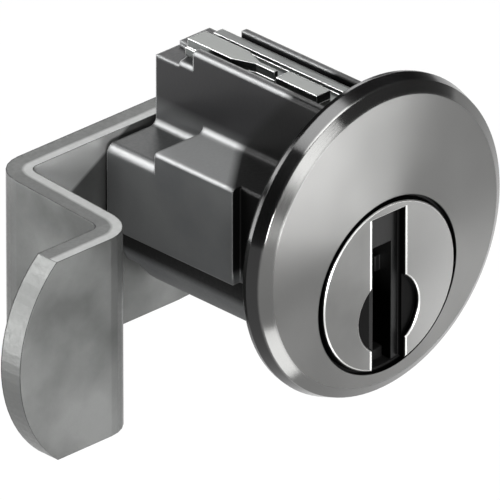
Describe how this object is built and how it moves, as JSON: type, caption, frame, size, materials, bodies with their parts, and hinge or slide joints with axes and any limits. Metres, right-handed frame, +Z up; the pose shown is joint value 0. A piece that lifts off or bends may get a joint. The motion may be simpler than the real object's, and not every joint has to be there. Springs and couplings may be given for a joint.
{
  "type": "mailbox lock",
  "caption": "Cam lock for a mailbox door: a round face set off the plug's axis, a pin tumbler plug that turns a quarter turn, and a bent cam with a hooked end.",
  "frame": {"origin": "on the plug's axis, in the plane where the back of the head seats on the door", "axes": "+Y along the plug into the box, +X to the right and +Z up, seen from the front of the door"},
  "size_m": [0.0425, 0.0297, 0.0278],
  "materials": {
    "die_cast_zinc": "dark plated die casting",
    "face_steel": "brushed around the face's centre",
    "plug_zinc": "satin plated, brushed face",
    "cam_steel": "stamped and zinc plated",
    "cover_steel": "rolled strip",
    "washer_steel": "zinc plated",
    "pin_brass": "turned",
    "spring_steel": "drawn wire"
  },
  "bodies": {
    "housing": {"housing": "die_cast_zinc", "face_cap": "face_steel", "pin_cover": "cover_steel", "spring_1": "spring_steel", "spring_2": "spring_steel", "spring_3": "spring_steel", "spring_4": "spring_steel", "spring_5": "spring_steel"},
    "plug": {"plug": "plug_zinc", "stop_washer": "washer_steel", "cam": "cam_steel", "spring_washer": "washer_steel", "cam_nut": "washer_steel"},
    "key_pin_1": {"key_pin_1": "pin_brass"},
    "key_pin_2": {"key_pin_2": "pin_brass"},
    "key_pin_3": {"key_pin_3": "pin_brass"},
    "key_pin_4": {"key_pin_4": "pin_brass"},
    "key_pin_5": {"key_pin_5": "pin_brass"},
    "driver_pin_1": {"driver_pin_1": "pin_brass"},
    "driver_pin_2": {"driver_pin_2": "pin_brass"},
    "driver_pin_3": {"driver_pin_3": "pin_brass"},
    "driver_pin_4": {"driver_pin_4": "pin_brass"},
    "driver_pin_5": {"driver_pin_5": "pin_brass"}
  },
  "joints": [
    {"name": "plug_turn", "type": "hinge", "parent": "housing", "child": "plug", "pos_m": [0, 0, 0], "axis": [0, 1, 0], "range_deg": [0, 90]},
    {"name": "key_pin_1_slide", "type": "slide", "parent": "plug", "child": "key_pin_1", "axis": [0, 0, 1], "range_m": [-0.00295, 0]},
    {"name": "key_pin_2_slide", "type": "slide", "parent": "plug", "child": "key_pin_2", "axis": [0, 0, 1], "range_m": [-0.00185, 0]},
    {"name": "key_pin_3_slide", "type": "slide", "parent": "plug", "child": "key_pin_3", "axis": [0, 0, 1], "range_m": [-0.00255, 0]},
    {"name": "key_pin_4_slide", "type": "slide", "parent": "plug", "child": "key_pin_4", "axis": [0, 0, 1], "range_m": [-0.00155, 0]},
    {"name": "key_pin_5_slide", "type": "slide", "parent": "plug", "child": "key_pin_5", "axis": [0, 0, 1], "range_m": [-0.00225, 0]},
    {"name": "driver_pin_1_slide", "type": "slide", "parent": "housing", "child": "driver_pin_1", "axis": [0, 0, 1], "range_m": [-0.00295, 0], "stiffness_N_per_m": 150, "springref_m": -0.004, "deforming": ["spring_1"]},
    {"name": "driver_pin_2_slide", "type": "slide", "parent": "housing", "child": "driver_pin_2", "axis": [0, 0, 1], "range_m": [-0.00185, 0], "stiffness_N_per_m": 150, "springref_m": -0.004, "deforming": ["spring_2"]},
    {"name": "driver_pin_3_slide", "type": "slide", "parent": "housing", "child": "driver_pin_3", "axis": [0, 0, 1], "range_m": [-0.00255, 0], "stiffness_N_per_m": 150, "springref_m": -0.004, "deforming": ["spring_3"]},
    {"name": "driver_pin_4_slide", "type": "slide", "parent": "housing", "child": "driver_pin_4", "axis": [0, 0, 1], "range_m": [-0.00155, 0], "stiffness_N_per_m": 150, "springref_m": -0.004, "deforming": ["spring_4"]},
    {"name": "driver_pin_5_slide", "type": "slide", "parent": "housing", "child": "driver_pin_5", "axis": [0, 0, 1], "range_m": [-0.00225, 0], "stiffness_N_per_m": 150, "springref_m": -0.004, "deforming": ["spring_5"]}
  ],
  "couplings": [
    {"joint": "driver_pin_1_slide", "follows": "key_pin_1_slide", "ratio": 1},
    {"joint": "driver_pin_2_slide", "follows": "key_pin_2_slide", "ratio": 1},
    {"joint": "driver_pin_3_slide", "follows": "key_pin_3_slide", "ratio": 1},
    {"joint": "driver_pin_4_slide", "follows": "key_pin_4_slide", "ratio": 1},
    {"joint": "driver_pin_5_slide", "follows": "key_pin_5_slide", "ratio": 1}
  ]
}
